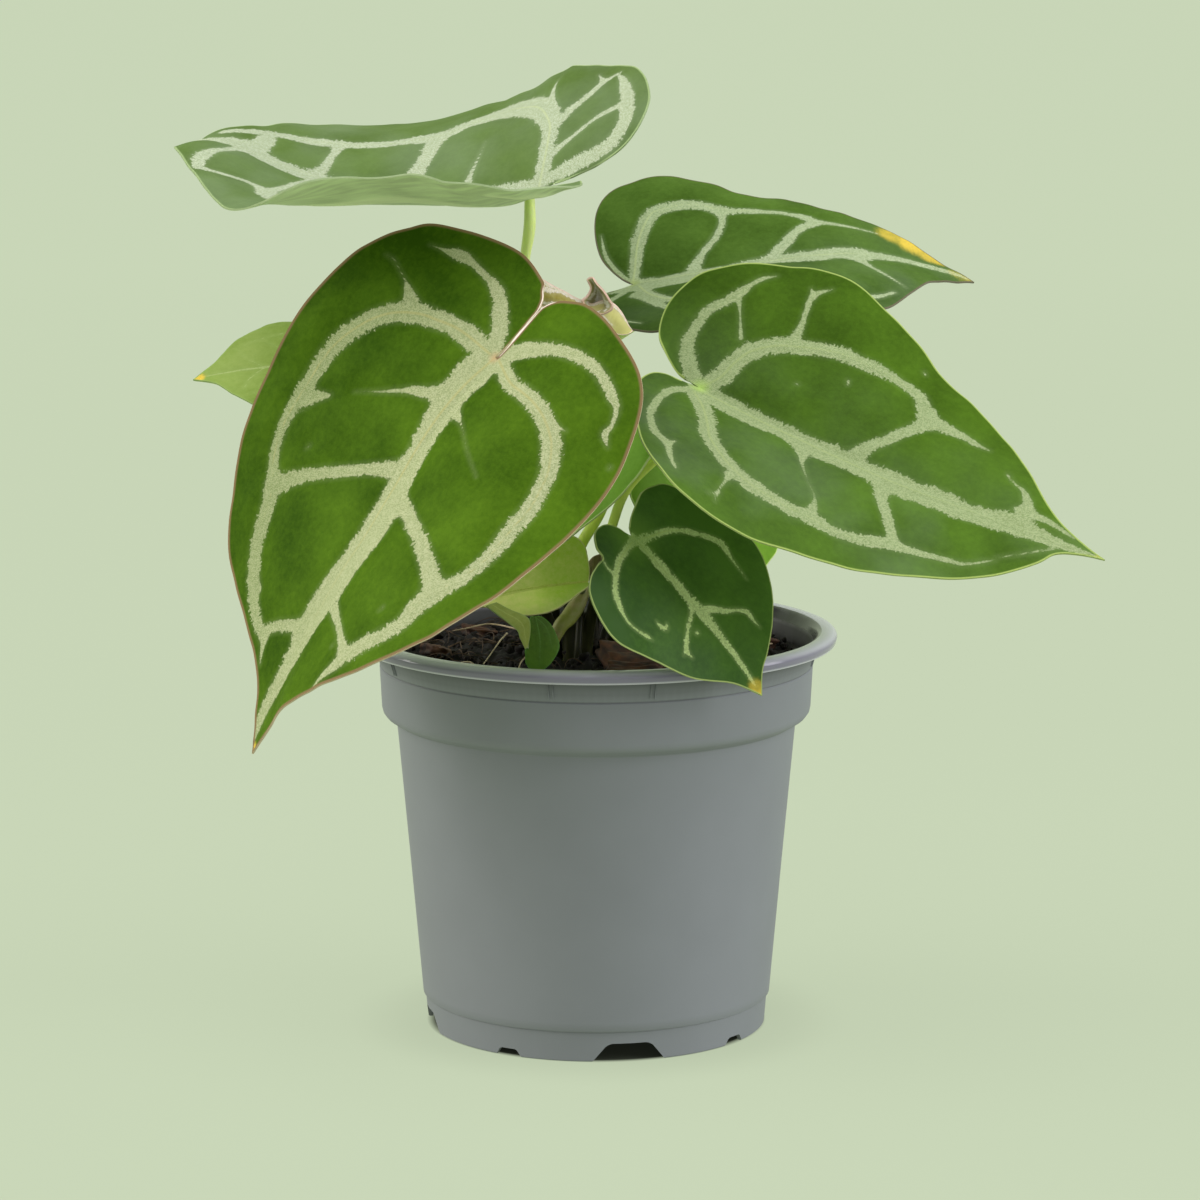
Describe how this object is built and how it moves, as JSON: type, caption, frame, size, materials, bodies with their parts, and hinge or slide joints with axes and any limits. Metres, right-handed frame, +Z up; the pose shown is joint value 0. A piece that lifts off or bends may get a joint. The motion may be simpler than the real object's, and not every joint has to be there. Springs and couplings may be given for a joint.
{
  "type": "potted houseplant",
  "caption": "Velvet-leaved foliage plant with heart-shaped, pale-veined leaves on slim stems, growing in a round plastic nursery pot filled with peat.",
  "frame": {"origin": "middle of the bottom of the overall box, on the surface the pot stands on; the pot's axis stands 6.9 mm to -X and 10.5 mm to +Y of it", "axes": "+Z up along the pot's axis; the side with the two large front leaves faces -Y; +X to the right seen from that side"},
  "size_m": [0.225, 0.1586, 0.2386],
  "materials": {
    "pot_plastic": "matte mid-grey moulded plastic with a smoother rolled rim",
    "peat": "dark moist peat with fibres and bark pieces",
    "crown_tissue": "dull green-brown rootstock with papery sheaths",
    "leaf_stem": "smooth pale green stem with a soft sheen",
    "leaf_blade": "velvety green blade with pale silvery veins",
    "leaf_young": "soft pale green young blade",
    "leaf_bronze": "unfolding bronze-olive blade with pale veins"
  },
  "bodies": {
    "root": {"pot": "pot_plastic", "soil": "peat", "crown": "crown_tissue", "leaf_front_left": "leaf_blade", "stem_front_left": "leaf_stem", "leaf_front_right": "leaf_blade", "stem_front_right": "leaf_stem", "leaf_top": "leaf_blade", "stem_top": "leaf_stem", "leaf_upper_right": "leaf_blade", "stem_upper_right": "leaf_stem", "leaf_small_front": "leaf_blade", "stem_small_front": "leaf_stem", "leaf_far_left": "leaf_young", "stem_far_left": "leaf_stem", "leaf_inner_left": "leaf_blade", "stem_inner_left": "leaf_stem", "leaf_inner_right": "leaf_blade", "stem_inner_right": "leaf_stem", "leaf_pale_folded": "leaf_young", "stem_pale_folded": "leaf_stem", "leaf_curled_low": "leaf_blade", "stem_curled_low": "leaf_stem", "leaf_young_bronze": "leaf_bronze", "stem_young_bronze": "leaf_stem"}
  },
  "joints": []
}
